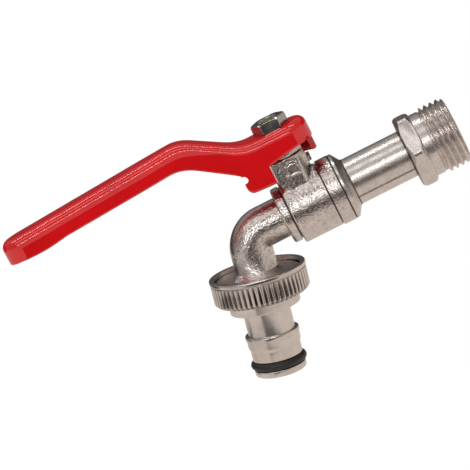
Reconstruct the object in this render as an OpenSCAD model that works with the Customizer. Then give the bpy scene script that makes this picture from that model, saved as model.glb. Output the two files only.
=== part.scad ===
// Lever ball tap with a hose connector: the pipe axis runs along X, the stem along Z.
// The origin is on the pipe axis, at the middle of the inlet thread.

/* [Inlet thread] */
// Outer diameter of the male pipe thread
inlet_thread_d = 20.96; // [19:0.02:22]
// Depth of the pipe thread
inlet_thread_depth = 1.16; // [0.8:0.02:1.3]
// Pitch of the pipe thread
inlet_pitch = 1.814; // [1.5:0.001:2]
// Number of full thread crests
inlet_crests = 4; // [3:1:6]
// Flat on each thread crest
crest_flat = 0.4; // [0.2:0.05:0.5]
// Length of the chamfered thread end
inlet_end_chamfer_l = 0.95; // [0.6:0.05:1.4]
// Diameter at the chamfered thread end
inlet_end_chamfer_d = 18.9; // [17.6:0.1:19.4]
// Diameter of the plain collar behind the thread
runout_d = 19.6; // [18.4:0.1:20]
// Length of the plain collar behind the thread
runout_l = 3.1; // [2:0.1:4.5]
// Diameter of the wide mouth in the inlet
inlet_mouth_d = 13.6; // [12:0.1:15]
// Depth of the wide mouth in the inlet
inlet_mouth_l = 9; // [6:0.5:11]
// Diameter of the water way
water_d = 9.4; // [8:0.1:9.5]

/* [Inlet tube] */
// Width of the hexagon across its flats
hex_af = 21; // [20:0.1:23]
// Length of the hexagon
hex_l = 4.9; // [4:0.1:7]
// Turn of the hexagon about the pipe
hex_turn = 19; // [0:1:60]
// Diameter that the hexagon's corners are turned to
hex_corner_d = 23.7; // [23:0.1:24.2]
// Outer diameter of the inlet tube
tube_d = 14.4; // [13.4:0.1:15.4]
// Length of the inlet tube between hexagon and shoulder
tube_l = 18.7; // [12:0.1:30]
// Height of the casting fin along the tube
fin_h = 0.35; // [0.2:0.05:0.6]
// Width of the casting fin along the tube
fin_w = 0.9; // [0.5:0.1:1.4]
// Step down from the raised band to the shoulder
shoulder_step = 0.1; // [0:0.05:0.4]
// Length of the shoulder against the body
shoulder_l = 1; // [0.6:0.1:4]
// Length of the taper from shoulder to tube
shoulder_taper_l = 1.9; // [1:0.1:3]

/* [Body] */
// Wall of the ball chamber round the screwed joint
chamber_wall = 1.4; // [1.2:0.1:2.2]
// Distance from the ball centre to the raised band
band_x = 6.6; // [5:0.1:8]
// Height of the raised band round the joint
band_h = 0.3; // [0.1:0.05:0.6]
// Distance from the ball centre to the body's open face
face_x = 10.7; // [10:0.1:12]
// Distance from the ball centre to the chamber's spout end
chamber_back_x = 5.9; // [5.5:0.1:6.4]
// Wall of the collar behind the chamber
collar_wall = 1.15; // [0.9:0.05:1.6]
// Width of the groove between chamber and collar
collar_groove_w = 0.45; // [0.3:0.05:0.8]
// Depth of the groove between chamber and collar
collar_groove_h = 0.5; // [0.2:0.05:0.8]
// Distance from the ball centre to the end of the collar
collar_end_x = 8.9; // [8.7:0.1:9.6]
// Width that the screwed joint adds round the seat
joint_wall = 1.05; // [0.9:0.05:1.3]
// Thickness of the ring that seals the joint
body_seal_t = 1.3; // [1:0.1:1.6]

/* [Spout] */
// Outer diameter of the spout
spout_d = 12.4; // [12:0.1:12.6]
// Outer diameter of the spout below its bend
outlet_d = 12.8; // [12.6:0.1:13.8]
// Diameter of the water way below the bend
outlet_bore_d = 9.6; // [9.6:0.1:10]
// Distance from the stem axis to the corner of the spout
elbow_x = 20.3; // [19:0.1:24]
// Radius of the inside of the bend
bend_inner_r = 0.3; // [0.2:0.1:1]
// Lean of the outlet away from straight down
outlet_lean = 13; // [5:1:20]
// Gap between the threads of the hose boss and the cap
boss_gap = 0.32; // [0.2:0.02:0.6]
// Distance along the outlet from the corner to the boss
boss_top = 12.4; // [11.4:0.1:16]
// Length of the threaded hose boss
boss_l = 3.9; // [3.5:0.1:5]
// Diameter of the boss mouth
boss_mouth_d = 12.6; // [11:0.1:14]

/* [Neck and lugs] */
// Outer diameter of the stem neck
neck_d = 11.2; // [10.6:0.1:11.6]
// Height of the top of the neck above the pipe axis
neck_top = 21.4; // [20.4:0.1:21.8]
// Distance from the stem axis to the flat face of each lug
lug_face = 7; // [6.8:0.1:7.1]
// Half width of the lugs on the side where they stop the opened lever
lug_open_x = 5.1; // [4.8:0.1:5.1]
// Half width of the back lug where it stops the closed lever
lug_shut_x = 5.7; // [5.2:0.1:5.7]
// Height of the top of the lugs
lug_top = 17; // [16.2:0.1:17.2]
// Height of the underside of the lugs at their edge
lug_bottom = 10.6; // [9.8:0.1:11.4]
// Width of the recess in the front lug
pocket_w = 5.4; // [4.6:0.1:5.8]
// Height of the recess in the front lug
pocket_h = 5.1; // [4.4:0.1:5.4]
// Depth of the recess in the front lug
pocket_depth = 2; // [1.2:0.1:2.2]
// Diameter of the stud in the recess
stud_d = 3.9; // [3:0.1:4.2]

/* [Ball, seats and stem] */
// Diameter of the ball
ball_d = 14; // [13.8:0.05:14.3]
// Diameter of the bore through the ball
ball_bore_d = 9; // [8:0.1:9]
// Outer diameter of the seat rings
seat_od = 15.1; // [14.9:0.05:15.2]
// Distance from the ball centre to the front of each seat
seat_front_x = 3.8; // [3.4:0.1:4]
// Distance from the ball centre to the back of each seat
seat_back_x = 7.2; // [6.9:0.1:7.4]
// Running clearance between ball and seat
seat_gap = 0.05; // [0.03:0.01:0.09]
// Width of the drive slot in the ball
slot_w = 3.2; // [2.6:0.1:3.6]
// Depth of the drive slot in the ball
slot_depth = 1.6; // [1.2:0.1:1.7]
// Clearance of parts that sit in each other without turning
seat_fit = 0.05; // [0.02:0.01:0.1]
// Diameter of the stem in the neck
stem_d = 7; // [6.6:0.1:7.4]
// Running clearance between stem and neck
stem_gap = 0.05; // [0.03:0.01:0.09]
// Diameter of the collar that keeps the stem in
stem_collar_d = 9.2; // [8.6:0.1:9.6]
// Clearance between the seats and the stem collar above them
collar_gap = 0.1; // [0.05:0.05:0.3]
// Thickness of the stem collar
stem_collar_t = 1.3; // [1:0.1:1.6]
// Thickness of the slip ring above the stem collar
thrust_washer_t = 0.8; // [0.5:0.1:1]
// Height of the middle of the lower stem ring
oring_low_z = 12.6; // [12:0.1:14]
// Height of the middle of the upper stem ring
oring_high_z = 17.2; // [16:0.1:18.4]
// Height of each stem ring
stem_oring_h = 1.5; // [1.2:0.1:1.8]
// Depth of the grooves for the stem rings
stem_groove_depth = 1; // [0.7:0.1:1.2]

/* [Lever] */
// Thickness of the lever's sheet
sheet_t = 1.8; // [1.4:0.1:1.9]
// Height of the lever's head above the pipe axis
head_top = 25; // [24.6:0.1:26]
// Distance from the stem axis to the lever's tip
lever_reach = 86.4; // [70:0.2:110]
// Distance from the stem axis to the end of the head
head_reach = 10.2; // [9.8:0.1:11]
// Width of the lever's head
head_w = 16; // [15.8:0.1:17]
// Width of the lever at the crank
waist_w = 10.8; // [10:0.1:12.4]
// Width of the lever's grip
grip_w = 12.8; // [11:0.1:15]
// Distance from the stem axis to the foot of the crank
crank_in = 12.6; // [12:0.1:14]
// Distance from the stem axis to the top of the crank
crank_out = 27.2; // [24:0.1:30]
// Rise of the crank from head to grip
crank_rise = 9.5; // [7:0.1:11]
// Drop of the grip's top from the crank to the tip
grip_drop = 3.6; // [1:0.1:6]
// Depth of the skirt on the head
head_skirt = 7.3; // [7:0.1:7.5]
// Depth of the skirt at the top of the crank
grip_skirt = 6.4; // [5:0.1:8]
// Depth of the skirt at the tip
tip_skirt = 5.6; // [4:0.1:7]
// Radius of the lever's top edge
edge_r = 2.4; // [1.9:0.1:3]
// Height of the bottom of the stop ears
ear_bottom = 12; // [11.6:0.1:13]
// Distance from the stem axis to the near edge of the front ear
ear_in = 5.4; // [5.3:0.1:5.8]
// Distance from the stem axis to the far edge of the front ear
ear_out = 14; // [12.5:0.1:14.5]
// Radius of the front ear's lower corner
ear_r = 1.8; // [1:0.1:2.4]
// Clearance of the lever's hole on the stem
lever_fit = 0.05; // [0.02:0.01:0.1]

/* [Nut on the lever] */
// Diameter of the stem's thread
nut_thread_d = 6; // [5:0.1:6.2]
// Width of the nut across its flats
nut_af = 10; // [9:0.1:11]
// Thickness of the nut
nut_t = 3.2; // [2.4:0.1:4]
// Distance of the stem's end below the top of the nut
stem_end_drop = 0.3; // [0:0.1:0.8]
// Distance between the flats of the stem inside the lever
flats_w = 5; // [4.4:0.1:5.4]

/* [Hose connector] */
// Diameter of the hollow that takes the hose boss
cap_bore_d = 26.44; // [26.4:0.02:26.8]
// Wall of the knurled cap over its ridges
cap_wall = 1.28; // [1.1:0.02:2]
// Number of ridges round the cap
knurl_count = 68; // [40:1:80]
// Depth of the grooves between the ridges
knurl_depth = 0.45; // [0.2:0.05:0.5]
// Height of the lip over the ridges
lip_rise = 0.2; // [0.1:0.05:0.6]
// Height of the lip
lip_h = 1.6; // [1:0.1:2]
// Height of the knurled cap with its lip
cap_h = 8.1; // [8:0.1:10]
// Chamfer round the bottom of the cap
cap_chamfer = 0.8; // [0.4:0.1:1]
// Distance of the cap's rim above the top of the boss
rim_rise = 1.3; // [0.6:0.1:1.6]
// Thickness of the hose gasket
gasket_t = 1.8; // [1.4:0.1:2]
// Inner diameter of the hose gasket
gasket_id = 13; // [12:0.1:15]
// Diameter of the hub below the cap
hub_d = 20.8; // [19:0.1:23]
// Height of the hub below the cap
hub_h = 3; // [2:0.1:5]
// Diameter of the nose's tube
nose_d = 14.2; // [13.8:0.1:14.6]
// Length of the nose's tube from hub to ridge
nose_l = 7.9; // [6:0.1:10]
// Diameter of the locking ridge
ridge_d = 16; // [15.7:0.05:16.1]
// Length of the locking ridge
ridge_l = 3.4; // [2.6:0.1:4.4]
// Diameter of the nose between ridge and ring
nose_neck_d = 15.1; // [14.6:0.1:15.4]
// Length of the taper behind the ridge
ridge_taper_l = 1.6; // [1:0.1:2.4]
// Distance from the ridge to the groove of the ring
groove_from_ridge = 4.3; // [3.6:0.1:6]
// Diameter of the ring's section
nose_oring_t = 2.2; // [1.8:0.05:2.2]
// Diameter of the groove's floor
nose_groove_d = 11.8; // [11.6:0.05:12]
// Play of the ring in its groove
nose_groove_play = 0.2; // [0.1:0.05:0.4]
// Diameter of the nose's tip
nose_tip_d = 15.2; // [14.6:0.1:15.6]
// Length of the nose's tip
nose_tip_l = 2.6; // [1.8:0.1:4]
// Diameter of the bore in the nose
nose_bore_d = 9.8; // [8.6:0.1:10]

/* [Hidden] */
$fn = 64;

plated = [0.74, 0.71, 0.68];
bright = [0.82, 0.82, 0.8];
red = [0.8, 0.08, 0.1];
rubber = [0.08, 0.08, 0.08];
plastic = [0.93, 0.93, 0.9];
eps = 0.01;
bevel = 0.4;

// Diameters that follow the seats and the cap's hollow
joint_d = seat_od + 2 * joint_wall;
chamber_d = joint_d + 2 * chamber_wall;
band_d = chamber_d + 2 * band_h;
shoulder_d = band_d - 2 * shoulder_step;
collar_d = seat_od + 2 * collar_wall;
knurl_d = cap_bore_d + 2 * cap_wall;
lip_d = knurl_d + 2 * lip_rise;
boss_d = cap_bore_d - 2 * boss_gap;

// Places along the pipe, from the ball centre towards the inlet
shoulder_end = face_x + shoulder_l;
tube_start = shoulder_end + shoulder_taper_l;
hex_start = tube_start + tube_l;
runout_start = hex_start + hex_l;
thread_start = runout_start + runout_l;
thread_end = thread_start + inlet_crests * inlet_pitch;
inlet_face = thread_end + inlet_end_chamfer_l;
origin_x = (thread_start + thread_end) / 2;
thread_root_d = inlet_thread_d - 2 * inlet_thread_depth;
joint_floor = seat_back_x - body_seal_t;

// Places along the outlet, from the corner of the spout downwards
bend_turn = 90 - outlet_lean;
bend_r = spout_d / 2 + bend_inner_r;
bend_reach = bend_r * tan(bend_turn / 2);
boss_end = boss_top + boss_l;
rim_t = boss_top - rim_rise;
cap_floor = boss_end + gasket_t;
cap_end = rim_t + cap_h;
hub_end = cap_end + hub_h;
ridge_start = hub_end + nose_l;
ridge_end = ridge_start + ridge_l;
groove_start = ridge_end + groove_from_ridge;
groove_end = groove_start + nose_oring_t + nose_groove_play;
nose_end = groove_end + nose_tip_l;

// Heights on the stem
stem_collar_z = seat_od / 2 + collar_gap;
washer_z = stem_collar_z + stem_collar_t;
collar_roof = washer_z + thrust_washer_t;
slot_floor = ball_d / 2 - slot_depth;
sheet_under = head_top - sheet_t;
stem_top = head_top + nut_t - stem_end_drop;
stem_bore_d = stem_d + 2 * stem_gap;

// Shape of the lever: u runs from the stem axis towards the tip
head_round = head_reach - 3.5;
tip_round = grip_w / 2;
tip_centre = lever_reach - tip_round;
crank_slope = crank_rise / (crank_out - crank_in);
grip_slope = grip_drop / (lever_reach - crank_out);
skirt_in = crank_in + 0.6;
skirt_out = crank_out + 0.8;
skirt_low = head_top - head_skirt;
skirt_high = head_top + crank_rise - grip_skirt;
tip_low = head_top + crank_rise - grip_drop - tip_skirt;
skirt_slope = (skirt_high - skirt_low) / (skirt_out - skirt_in);
skirt_drop = (skirt_high - tip_low) / (lever_reach - skirt_out);

module along_pipe(x) {
    translate([x - origin_x, 0, 0]) rotate([0, 90, 0]) children();
}

module on_stem(z) {
    translate([-origin_x, 0, z]) children();
}

module on_outlet(t) {
    translate([-elbow_x - origin_x, 0, 0]) rotate([0, 180 + outlet_lean, 0])
        translate([0, 0, t]) children();
}

// A turned shape from [place, radius] pairs, closed along its axis
module turned(outline) {
    first = outline[0];
    last = outline[len(outline) - 1];
    rotate_extrude()
        polygon(concat([[0, first[0]]], [for (p = outline) [p[1], p[0]]], [[0, last[0]]]));
}

module ring(outer, inner, h) {
    difference() {
        cylinder(d = outer, h = h);
        translate([0, 0, -1]) cylinder(d = inner, h = h + 2);
    }
}

// The round bar that follows the spout: straight, bent, then a little wider down to the outlet
module spout_bar(d, low_d, from_x, to_t) {
    overlap = 0.3;
    bend_x = elbow_x - bend_reach;
    along_pipe(-bend_x) cylinder(d = d, h = bend_x + from_x);
    translate([-bend_x - origin_x, 0, -bend_r]) rotate([90, 0, 0])
        rotate_extrude(angle = bend_turn, start = 90) translate([bend_r, 0]) circle(d = d);
    on_outlet(bend_reach - overlap) cylinder(d = low_d, h = to_t - bend_reach + overlap);
}

// Plan of a lug: flat face towards -Y, straight flank at -edge, rounded off into the neck
function lug_plan(edge, flat_x) = concat([[-edge, 0], [-edge, -lug_face]],
    [for (a = [0:9:90]) [flat_x + (neck_d / 2 - 0.6 - flat_x) * sin(a), -lug_face * cos(a)]]);

// Front view of a lug: its lower corner on the flank side is cut back in an arc
module lug_front(edge) {
    reach = lug_bottom - 7;
    polygon(concat([[edge + 1, lug_top], [-edge - 1, lug_top], [-edge - 1, lug_bottom]],
        [for (a = [0:15:90]) [-edge + edge * (1 - cos(a)), lug_bottom - reach * sin(a)]],
        [[edge + 1, lug_bottom - reach]]));
}

module front_lug() {
    intersection() {
        linear_extrude(lug_top) polygon(lug_plan(lug_open_x, 1.5));
        rotate([90, 0, 0]) translate([0, 0, -1]) linear_extrude(lug_face + 2)
            lug_front(lug_open_x);
    }
}

// The back lug is wider, because it also stops the closed lever
module back_lug() {
    intersection() {
        linear_extrude(lug_top) polygon([[lug_open_x, 0], [lug_open_x, lug_face],
            [-lug_shut_x, lug_face], [-lug_shut_x, lug_face - 1.8], [1.2 - neck_d / 2, 0]]);
        rotate([90, 0, 180]) translate([0, 0, -1]) linear_extrude(lug_face + 2)
            lug_front(lug_open_x + 1);
    }
}

// Recess in the front lug, with rounded corners and a round stud on its floor
module lug_recess() {
    mid_z = (lug_top + lug_bottom) / 2 - 0.4;
    corner = 0.9;
    difference() {
        translate([-0.3, -lug_face - 1, mid_z]) rotate([-90, 0, 0])
            linear_extrude(pocket_depth + 1) union() {
                square([pocket_w - 2 * corner, pocket_h], center = true);
                square([pocket_w, pocket_h - 2 * corner], center = true);
                for (x = [-1, 1], y = [-1, 1])
                    translate([x * (pocket_w / 2 - corner), y * (pocket_h / 2 - corner)])
                        circle(r = corner);
            }
        translate([0.1, -lug_face + 0.5, mid_z - 0.8]) rotate([-90, 0, 0])
            cylinder(d = stud_d, h = pocket_depth + 2);
    }
}

module valve_body() {
    color(plated) difference() {
        union() {
            along_pipe(0) turned([[-collar_end_x, spout_d / 2], [-collar_end_x, collar_d / 2 - 0.9],
                [-collar_end_x + 0.9, collar_d / 2], [-chamber_back_x - collar_groove_w, collar_d / 2],
                [-chamber_back_x - collar_groove_w, collar_d / 2 - collar_groove_h],
                [-chamber_back_x, collar_d / 2 - collar_groove_h], [-chamber_back_x, chamber_d / 2 - bevel],
                [-chamber_back_x + bevel, chamber_d / 2], [band_x, chamber_d / 2], [band_x, band_d / 2],
                [face_x - bevel / 2, band_d / 2], [face_x, band_d / 2 - bevel / 2]]);
            spout_bar(spout_d, outlet_d, 0, boss_top + 1);
            on_outlet(0) turned([[boss_top - 1.2, outlet_d / 2], [boss_top, outlet_d / 2 + 1.6],
                [boss_top, boss_d / 2 - bevel], [boss_top + bevel, boss_d / 2],
                [boss_end - bevel, boss_d / 2], [boss_end, boss_d / 2 - bevel]]);
            on_stem(0) turned([[0, neck_d / 2], [neck_top - bevel, neck_d / 2], [neck_top, neck_d / 2 - bevel]]);
            on_stem(0) front_lug();
            on_stem(0) back_lug();
        }
        on_stem(0) lug_recess();
        along_pipe(-seat_back_x) cylinder(d = seat_od + 2 * seat_fit, h = 2 * seat_back_x);
        along_pipe(joint_floor) cylinder(d = joint_d + 2 * seat_fit, h = face_x - joint_floor + 1);
        spout_bar(water_d, outlet_bore_d, -seat_back_x + 1, boss_end + 1);
        on_outlet(boss_end - 2) cylinder(d1 = outlet_bore_d, d2 = boss_mouth_d + 0.8, h = 2.2);
        on_stem(0) cylinder(d = stem_collar_d + 2 * stem_gap, h = collar_roof);
        on_stem(0) cylinder(d = stem_bore_d, h = neck_top + 1);
    }
}

// Ridges of the pipe thread, from its foot to the chamfered end
function thread_outline() = concat(
    [for (k = [0:inlet_crests - 1], p = [0:3])
        let (x = thread_start + k * inlet_pitch,
            flank = (inlet_pitch - 2 * crest_flat) / 2,
            place = [0, flank, flank + crest_flat, 2 * flank + crest_flat][p])
            [x + crest_flat / 2 + place, (p == 0 || p == 3 ? thread_root_d : inlet_thread_d) / 2]],
    [[thread_end + crest_flat / 2, thread_root_d / 2],
        [thread_end + inlet_end_chamfer_l / 2, inlet_end_chamfer_d / 2],
        [inlet_face, inlet_end_chamfer_d / 2 - bevel]]);

module inlet_hex() {
    corner = (hex_af / cos(30) - hex_corner_d) / 2 + 0.6;
    intersection() {
        rotate([hex_turn, 0, 0]) along_pipe(hex_start) cylinder(d = hex_af / cos(30), h = hex_l, $fn = 6);
        along_pipe(0) turned([[hex_start, hex_corner_d / 2 - corner],
            [hex_start + corner, hex_corner_d / 2], [runout_start - corner, hex_corner_d / 2],
            [runout_start, hex_corner_d / 2 - corner]]);
    }
}

module inlet_end() {
    color(plated) difference() {
        union() {
            along_pipe(0) turned(concat([[seat_back_x, joint_d / 2], [face_x, joint_d / 2],
                [face_x, shoulder_d / 2 - bevel / 2], [face_x + bevel / 2, shoulder_d / 2],
                [shoulder_end, shoulder_d / 2], [tube_start, tube_d / 2],
                [runout_start, tube_d / 2], [runout_start, runout_d / 2],
                [thread_start, runout_d / 2], [thread_start, thread_root_d / 2]],
                thread_outline()));
            inlet_hex();
            for (a = [-32, 148]) rotate([a, 0, 0])
                along_pipe(tube_start - 0.3) translate([-fin_w / 2, -tube_d / 2 - fin_h, 0])
                    cube([fin_w, fin_h + 1, tube_l + 0.6]);
        }
        along_pipe(0) cylinder(d = water_d, h = inlet_face + 1);
        along_pipe(inlet_face - inlet_mouth_l) cylinder(d1 = water_d, d2 = inlet_mouth_d, h = 2);
        along_pipe(inlet_face - inlet_mouth_l + 2) cylinder(d = inlet_mouth_d, h = inlet_mouth_l);
    }
}

module body_seal() {
    color(plastic) along_pipe(joint_floor) ring(joint_d, seat_od + 0.3, body_seal_t);
}

module ball() {
    color(bright) on_stem(0) difference() {
        sphere(d = ball_d);
        rotate([0, 90, 0]) translate([0, 0, -ball_d]) cylinder(d = ball_bore_d, h = 2 * ball_d);
        translate([-slot_w / 2, -ball_d, slot_floor]) cube([slot_w, 2 * ball_d, ball_d]);
    }
}

module seat() {
    difference() {
        translate([0, 0, seat_front_x]) ring(seat_od, water_d, seat_back_x - seat_front_x);
        sphere(d = ball_d + 2 * seat_gap);
    }
}

module seat_inlet() {
    color(plastic) along_pipe(0) seat();
}

module seat_outlet() {
    color(plastic) along_pipe(0) mirror([0, 0, 1]) seat();
}

module stem() {
    groove_d = stem_d - 2 * stem_groove_depth;
    tang_w = slot_w - 2 * seat_fit;
    color(bright) on_stem(0) difference() {
        union() {
            translate([-tang_w / 2, -stem_d / 2 + 0.4, slot_floor + seat_fit])
                cube([tang_w, stem_d - 0.8, stem_collar_z - slot_floor]);
            translate([0, 0, stem_collar_z]) cylinder(d = stem_collar_d, h = stem_collar_t);
            cylinder_from(stem_collar_z, sheet_under, stem_d);
            intersection() {
                cylinder_from(sheet_under - 1, stem_top - bevel, nut_thread_d);
                translate([-nut_thread_d, -flats_w / 2, 0]) cube([2 * nut_thread_d, flats_w, head_top]);
            }
            cylinder_from(head_top - eps, stem_top - bevel, nut_thread_d);
            translate([0, 0, stem_top - bevel])
                cylinder(d1 = nut_thread_d, d2 = nut_thread_d - 2 * bevel, h = bevel);
        }
        for (z = [oring_low_z, oring_high_z])
            translate([0, 0, z - stem_oring_h / 2 - 0.1]) ring(stem_d + 1, groove_d, stem_oring_h + 0.2);
    }
}

module cylinder_from(low, high, d) {
    translate([0, 0, low]) cylinder(d = d, h = high - low);
}

module thrust_washer() {
    color(plastic) on_stem(washer_z) ring(stem_collar_d, stem_d + 2 * seat_fit, thrust_washer_t);
}

// A squeezed ring that fills its groove and just clears the neck's bore
module stem_oring(z) {
    inner = stem_d / 2 - stem_groove_depth + seat_fit;
    outer = stem_d / 2;
    cut = stem_oring_h / 4;
    on_stem(z) rotate_extrude() polygon([[inner, -stem_oring_h / 2 + cut], [inner + cut, -stem_oring_h / 2],
        [outer - cut, -stem_oring_h / 2], [outer, -stem_oring_h / 2 + cut],
        [outer, stem_oring_h / 2 - cut], [outer - cut, stem_oring_h / 2],
        [inner + cut, stem_oring_h / 2], [inner, stem_oring_h / 2 - cut]]);
}

module stem_oring_lower() {
    color(rubber) stem_oring(oring_low_z);
}

module stem_oring_upper() {
    color(rubber) stem_oring(oring_high_z);
}

// A bend at place c that turns a straight line by the given slope, rounded over 2 * b
function turn_at(u, c, slope, b) = slope * (u < c - b ? 0 : u > c + b ? u - c : pow(u - c + b, 2) / (4 * b));

function ease(t) = let (s = max(0, min(1, t))) s * s * (3 - 2 * s);

function lever_top(u) = head_top + turn_at(u, crank_in, crank_slope, 4)
    + turn_at(u, crank_out, -crank_slope - grip_slope, 5);

function lever_skirt(u) = skirt_low + turn_at(u, skirt_in, skirt_slope, 2.5)
    + turn_at(u, skirt_out, -skirt_slope - skirt_drop, 4);

function lever_half(u) = head_w / 2 - (head_w - waist_w) / 2 * ease((u - 5) / 12)
    + (grip_w - waist_w) / 2 * ease((u - 22) / 20);

// Depth of the sheet straight down, which is more where the lever slopes
function sheet_depth(u) = let (s = (lever_top(u + 0.1) - lever_top(u - 0.1)) / 0.2) sheet_t * sqrt(1 + s * s);

// Places along the side of the lever, closer at the bends and at the edges of the ear
side_places = concat([for (k = [1:9]) tip_centre - k * (tip_centre - 36) / 9],
    [for (u = [34:-1.5:crank_in + 3]) u], [ear_out + 0.02],
    [for (a = [90:-15:0]) ear_out - ear_r + ear_r * sin(a)],
    [for (u = [ear_out - ear_r - 1.2:-1.2:ear_in + 1]) u], [ear_in, ear_in - 0.02],
    [for (u = [4, 2, 0, -2]) u]);

// Angles round the end of the head, with the edges of the back ear in pairs
head_angles = [90, 82, 72.2, 72, 62, 52, 42, 32, 22, 21.8, 11, 0];

// Plan outline on one side from tip to head, set in by d
function half_outline(d) = concat(
    [for (a = [0:11.25:78.75]) [tip_centre + (tip_round - d) * cos(a), (tip_round - d) * sin(a)]],
    [[tip_centre, grip_w / 2 - d]],
    [for (u = side_places) [u, lever_half(u) - d]],
    [for (a = head_angles)
        [head_round - head_reach - (head_round - d) * pow(cos(a), 0.8), (head_w / 2 - d) * pow(sin(a), 0.8)]]);

// Outline points of the back ear, counted from the tip
back_ear_first = 9 + len(side_places) + 3;
back_ear_last = back_ear_first + 5;

// Height of the skirt's lower edge: front ear on one side, back ear on the other
function front_low(u) = u >= ear_in && u <= ear_out
    ? ear_bottom + (u > ear_out - ear_r ? ear_r - sqrt(max(0, pow(ear_r, 2) - pow(u - ear_out + ear_r, 2))) : 0)
    : lever_skirt(u);

function back_low(k, u) = k >= back_ear_first && k <= back_ear_last ? ear_bottom + 0.5 : lever_skirt(u);

// A closed loop of points round the lever, from its plan and its heights on both sides
function lever_loop(plan, front, back) = let (m = len(plan) - 1) concat(
    [for (k = [0:m]) [-plan[k][0], -plan[k][1], front[k]]],
    [for (k = [m - 1:-1:1]) [-plan[k][0], plan[k][1], back[k]]]);

function roof_loop(d, depth, drop) = let (plan = half_outline(d),
    z = [for (p = plan) lever_top(p[0]) - depth * sheet_depth(p[0]) / sheet_t - drop]) lever_loop(plan, z, z);

function ring_faces(a, b, n) = [for (k = [0:n - 1]) let (j = (k + 1) % n)
    each [[a * n + k, b * n + k, b * n + j], [a * n + k, b * n + j, a * n + j]]];

function roof_faces(a, n, flip) = let (m = n / 2)
    [for (k = [0:m - 1]) let (p = a * n, far = p + (n - k) % n, next = p + n - k - 1)
        each [for (f = [[p + k, far, next], [p + k, next, p + k + 1]])
            if (f[0] != f[1] && f[1] != f[2] && f[2] != f[0]) flip ? [f[2], f[1], f[0]] : f]];

module lever_shell() {
    base = half_outline(0);
    front = [for (k = [0:len(base) - 1]) front_low(base[k][0])];
    back = [for (k = [0:len(base) - 1]) back_low(k, base[k][0])];
    steps = [0:22.5:90];
    outer = [for (a = steps) roof_loop(edge_r * (1 - cos(a)), 0, edge_r * (1 - sin(a)))];
    inner_r = edge_r - sheet_t;
    inner = [for (a = [0:45:90])
        roof_loop(sheet_t + inner_r * (1 - cos(a)), sheet_t, inner_r * (1 - sin(a)))];
    loops = concat(outer, [lever_loop(base, front, back)],
        inner, [lever_loop(half_outline(sheet_t), front, back)]);
    n = len(loops[0]);
    o = len(outer);
    i = o + 1 + len(inner);
    faces = concat([for (k = [0:o - 2]) each ring_faces(k, k + 1, n)], ring_faces(o, 0, n),
        roof_faces(o - 1, n, false),
        [for (k = [o + 1:i - 2]) each ring_faces(k + 1, k, n)], ring_faces(o + 1, i, n),
        roof_faces(i - 1, n, true), ring_faces(i, o, n));
    polyhedron([for (l = loops) each l], faces, convexity = 6);
}

module lever() {
    hole = nut_thread_d / 2 + lever_fit;
    color(red) on_stem(0) difference() {
        lever_shell();
        intersection() {
            cylinder_from(sheet_under - 1, head_top + 1, 2 * hole);
            translate([-hole, -flats_w / 2 - lever_fit, 0])
                cube([2 * hole, flats_w + 2 * lever_fit, head_top + 2]);
        }
    }
}

module lever_nut() {
    corner = nut_af / cos(30);
    color(bright) on_stem(head_top) difference() {
        intersection() {
            cylinder(d = corner, h = nut_t, $fn = 6);
            turned([[0, nut_af / 2], [0.45, corner / 2], [nut_t - 0.45, corner / 2], [nut_t, nut_af / 2]]);
        }
        translate([0, 0, -1]) cylinder(d = nut_thread_d + 2 * seat_fit, h = nut_t + 2);
    }
}

// Plan of the ridges round the cap
function knurl_plan() = [for (k = [0:knurl_count - 1], p = [0:3])
    let (r = knurl_d / 2 - (p < 2 ? 0 : knurl_depth), a = 360 / knurl_count * (k + [0, 0.3, 0.55, 0.75][p]))
        [r * cos(a), r * sin(a)]];

module knurled_band() {
    intersection() {
        linear_extrude(cap_h) polygon(knurl_plan());
        turned([[lip_h, knurl_d / 2 + 1], [cap_h - cap_chamfer - 1, knurl_d / 2 + 1],
            [cap_h, knurl_d / 2 - cap_chamfer]]);
    }
}

module hose_connector() {
    color(plated) difference() {
        union() {
            on_outlet(rim_t) turned([[0, lip_d / 2 - 0.5], [0.5, lip_d / 2], [lip_h - 0.4, lip_d / 2],
                [lip_h - 0.4, lip_d / 2 - 0.9], [lip_h + 0.1, lip_d / 2 - 0.9]]);
            on_outlet(rim_t) knurled_band();
            on_outlet(0) turned([[cap_end - 1, hub_d / 2], [hub_end - bevel, hub_d / 2],
                [hub_end, hub_d / 2 - bevel], [hub_end, nose_d / 2 + 0.6], [hub_end + 0.6, nose_d / 2],
                [ridge_start, nose_d / 2], [ridge_start, ridge_d / 2 - bevel / 2],
                [ridge_start + bevel / 2, ridge_d / 2], [ridge_end, ridge_d / 2],
                [ridge_end + ridge_taper_l, nose_neck_d / 2], [groove_start, nose_neck_d / 2],
                [groove_start, nose_groove_d / 2], [groove_end, nose_groove_d / 2],
                [groove_end, nose_tip_d / 2 - 0.2], [groove_end + 0.2, nose_tip_d / 2],
                [nose_end - 0.7, nose_tip_d / 2], [nose_end, nose_tip_d / 2 - 0.7]]);
        }
        on_outlet(rim_t - 1) cylinder(d = cap_bore_d, h = cap_floor - rim_t + 1);
        on_outlet(rim_t) cylinder(d = nose_bore_d, h = nose_end - rim_t + 1);
        on_outlet(nose_end - 0.6) cylinder(d1 = nose_bore_d, d2 = nose_bore_d + 1.4, h = 0.7);
    }
}

module hose_gasket() {
    color(rubber) on_outlet(boss_end) ring(boss_d, gasket_id, gasket_t);
}

module nose_oring() {
    color(rubber) on_outlet((groove_start + groove_end) / 2)
        rotate_extrude() translate([nose_groove_d / 2 + nose_oring_t / 2, 0]) circle(d = nose_oring_t);
}

valve_body();
inlet_end();
body_seal();
ball();
seat_inlet();
seat_outlet();
stem();
thrust_washer();
stem_oring_lower();
stem_oring_upper();
lever();
lever_nut();
hose_connector();
hose_gasket();
nose_oring();
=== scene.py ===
import math

import bmesh
import bpy
from mathutils import Matrix, Vector


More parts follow.
